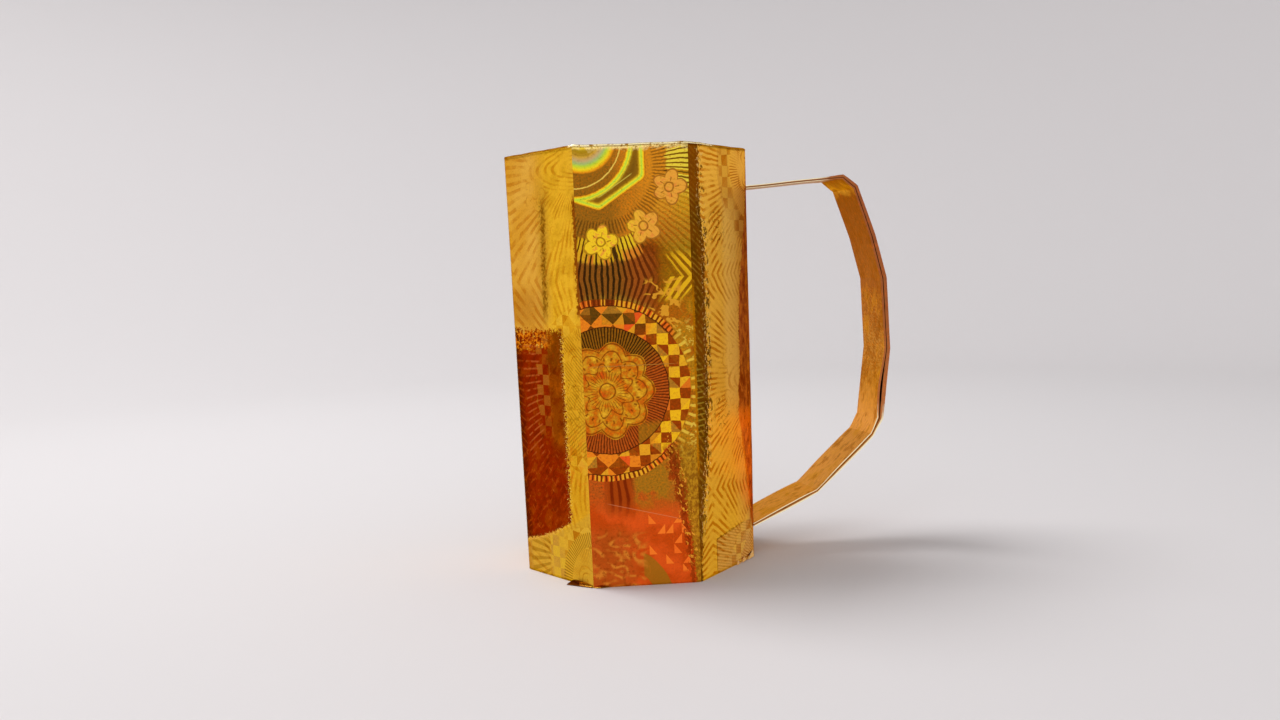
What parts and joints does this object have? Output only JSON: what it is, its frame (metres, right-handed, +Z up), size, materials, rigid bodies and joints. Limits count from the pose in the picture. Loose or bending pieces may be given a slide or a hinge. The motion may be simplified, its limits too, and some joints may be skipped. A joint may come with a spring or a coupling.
{
  "type": "folded paper cup",
  "caption": "Tall seven-sided cup folded from a single sheet of embossed gold foil paper, with a creased strip looped out as a handle.",
  "frame": {"origin": "centre of the base, on the cup's axis, where the underside rests", "axes": "+Z up along the cup's axis to the rim, +X out of the middle of the wall that carries the handle, +Y completes a right-handed frame"},
  "size_m": [0.0914, 0.0562, 0.0967],
  "materials": {
    "gold_foil_paper": "glossy metallic gold foil with fine embossed rays, rings and checks, which shine from yellow to amber and brown"
  },
  "bodies": {
    "root": {"cup": "gold_foil_paper"}
  },
  "joints": []
}
